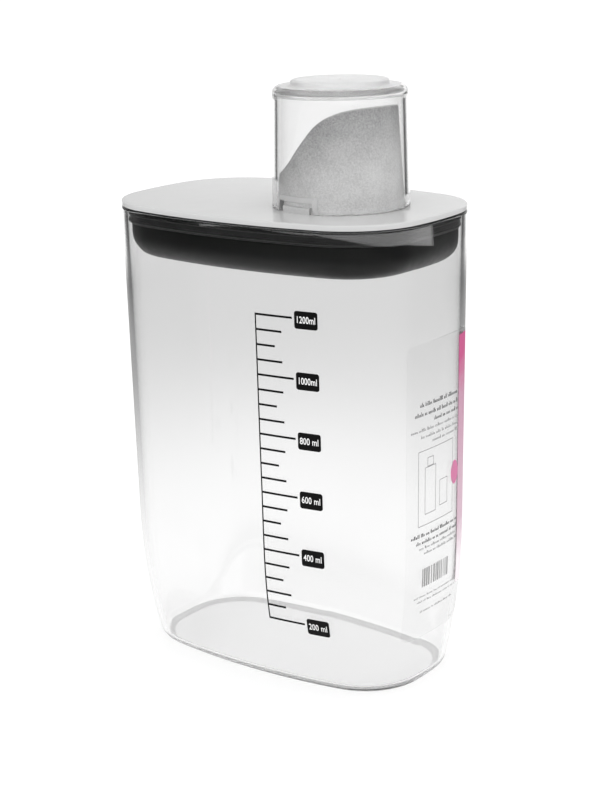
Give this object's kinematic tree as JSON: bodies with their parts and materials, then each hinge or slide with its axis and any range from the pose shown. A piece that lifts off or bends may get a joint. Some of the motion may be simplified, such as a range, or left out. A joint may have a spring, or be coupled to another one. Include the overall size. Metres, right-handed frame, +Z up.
{
  "type": "cereal dispenser",
  "caption": "Clear rounded food jar with a printed volume scale, a flat sealing lid, an off-centre pouring spout, and a clear measuring cup that caps the spout.",
  "frame": {"origin": "centre of the flat base that the jar stands on", "axes": "+Z up along the jar's height, +X along its length towards the end with the pouring spout and the film label, -Y out of the long face that carries the volume scale"},
  "size_m": [0.13, 0.0868, 0.2233],
  "materials": {
    "jar_clear": "clear, polished, moulded",
    "cup_clear": "clear, polished, moulded",
    "lid_grey": "glossy light grey",
    "spout_grey": "fine matt light grey",
    "plug_black": "satin black",
    "seal_black": "satin silicone",
    "print_black": "screen print",
    "label_film": "clear film",
    "label_pink": "print on film"
  },
  "bodies": {
    "jar": {"container_body": "jar_clear", "scale_marks": "print_black", "scale_badge_200": "print_black", "scale_badge_400": "print_black", "scale_badge_600": "print_black", "scale_badge_800": "print_black", "scale_badge_1000": "print_black", "scale_badge_1200": "print_black", "side_label": "label_film", "label_stripe": "label_pink"},
    "lid": {"lid_plate": "lid_grey", "lid_plug": "plug_black", "lid_gasket": "seal_black", "pour_spout": "spout_grey"},
    "cup": {"measuring_cup": "cup_clear"}
  },
  "joints": [
    {"name": "lid_lift", "type": "slide", "parent": "jar", "child": "lid", "axis": [0, 0, 1], "range_m": [0, 0.06]},
    {"name": "cup_lift", "type": "slide", "parent": "lid", "child": "cup", "axis": [0, 0, 1], "range_m": [0, 0.06]}
  ]
}
